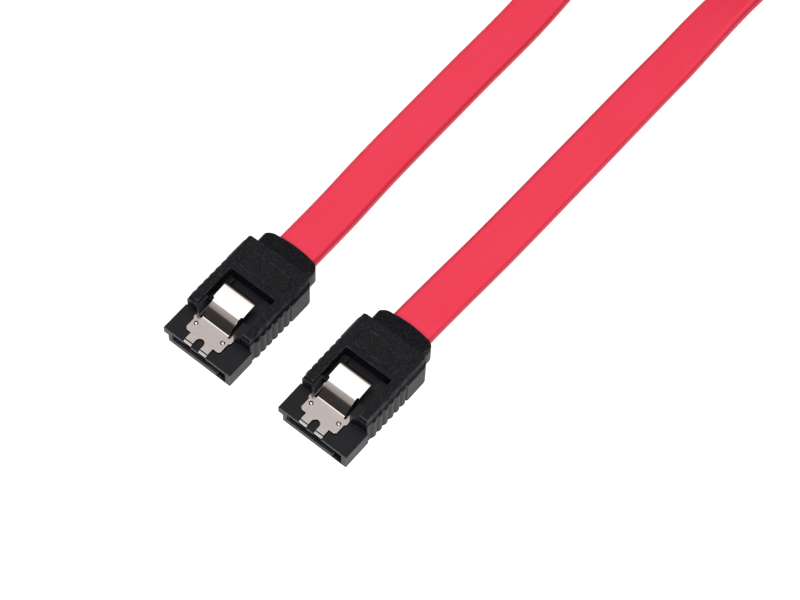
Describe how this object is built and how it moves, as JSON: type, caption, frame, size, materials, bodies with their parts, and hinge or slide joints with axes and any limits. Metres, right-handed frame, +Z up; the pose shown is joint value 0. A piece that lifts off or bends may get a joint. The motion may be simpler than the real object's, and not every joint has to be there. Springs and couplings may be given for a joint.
{
  "type": "sata data cable",
  "caption": "Flat red serial data cable with a straight black plug at each end, each with a keyed blade slot, ribbed grip and spring steel latch.",
  "frame": {"origin": "bottom centre of the box round the two plugs, without the cable", "axes": "+X across the two plugs, -Y the way both mouths face, +Z up through the latches"},
  "size_m": [0.0683, 0.2268, 0.008],
  "materials": {
    "housing_plastic": "black moulded, smooth",
    "grip_plastic": "black moulded, fine spark texture",
    "spring_steel": "bright rolled strip",
    "gold_plated_contact": "gold plated",
    "natural_plastic": "natural, moulded",
    "core_sleeve": "white extruded",
    "tinned_copper": "tinned",
    "red_jacket": "red extruded, satin"
  },
  "bodies": {
    "cable": {"housing_left": "housing_plastic", "grip_left": "grip_plastic", "wire_block_left": "natural_plastic", "contact_left_1": "gold_plated_contact", "drain_wire_left_1": "tinned_copper", "contact_left_2": "gold_plated_contact", "signal_core_left_2": "core_sleeve", "contact_left_3": "gold_plated_contact", "signal_core_left_3": "core_sleeve", "contact_left_4": "gold_plated_contact", "drain_wire_left_4": "tinned_copper", "contact_left_5": "gold_plated_contact", "signal_core_left_5": "core_sleeve", "contact_left_6": "gold_plated_contact", "signal_core_left_6": "core_sleeve", "contact_left_7": "gold_plated_contact", "drain_wire_left_7": "tinned_copper", "housing_right": "housing_plastic", "grip_right": "grip_plastic", "wire_block_right": "natural_plastic", "contact_right_1": "gold_plated_contact", "drain_wire_right_1": "tinned_copper", "contact_right_2": "gold_plated_contact", "signal_core_right_2": "core_sleeve", "contact_right_3": "gold_plated_contact", "signal_core_right_3": "core_sleeve", "contact_right_4": "gold_plated_contact", "drain_wire_right_4": "tinned_copper", "contact_right_5": "gold_plated_contact", "signal_core_right_5": "core_sleeve", "contact_right_6": "gold_plated_contact", "signal_core_right_6": "core_sleeve", "contact_right_7": "gold_plated_contact", "drain_wire_right_7": "tinned_copper", "flat_cable": "red_jacket"},
    "latch_strip_left": {"latch_left": "spring_steel"},
    "latch_strip_right": {"latch_right": "spring_steel"}
  },
  "joints": [
    {"name": "latch_press_left", "type": "hinge", "parent": "cable", "child": "latch_strip_left", "pos_m": [-0.01215, -0.00055, 0.00382], "axis": [1, 0, 0], "range_deg": [0, 1.9], "stiffness_Nm_per_rad": 0.05},
    {"name": "latch_press_right", "type": "hinge", "parent": "cable", "child": "latch_strip_right", "pos_m": [0.01125, 0.00035, 0.00382], "axis": [1, 0, 0], "range_deg": [0, 1.9], "stiffness_Nm_per_rad": 0.05}
  ]
}
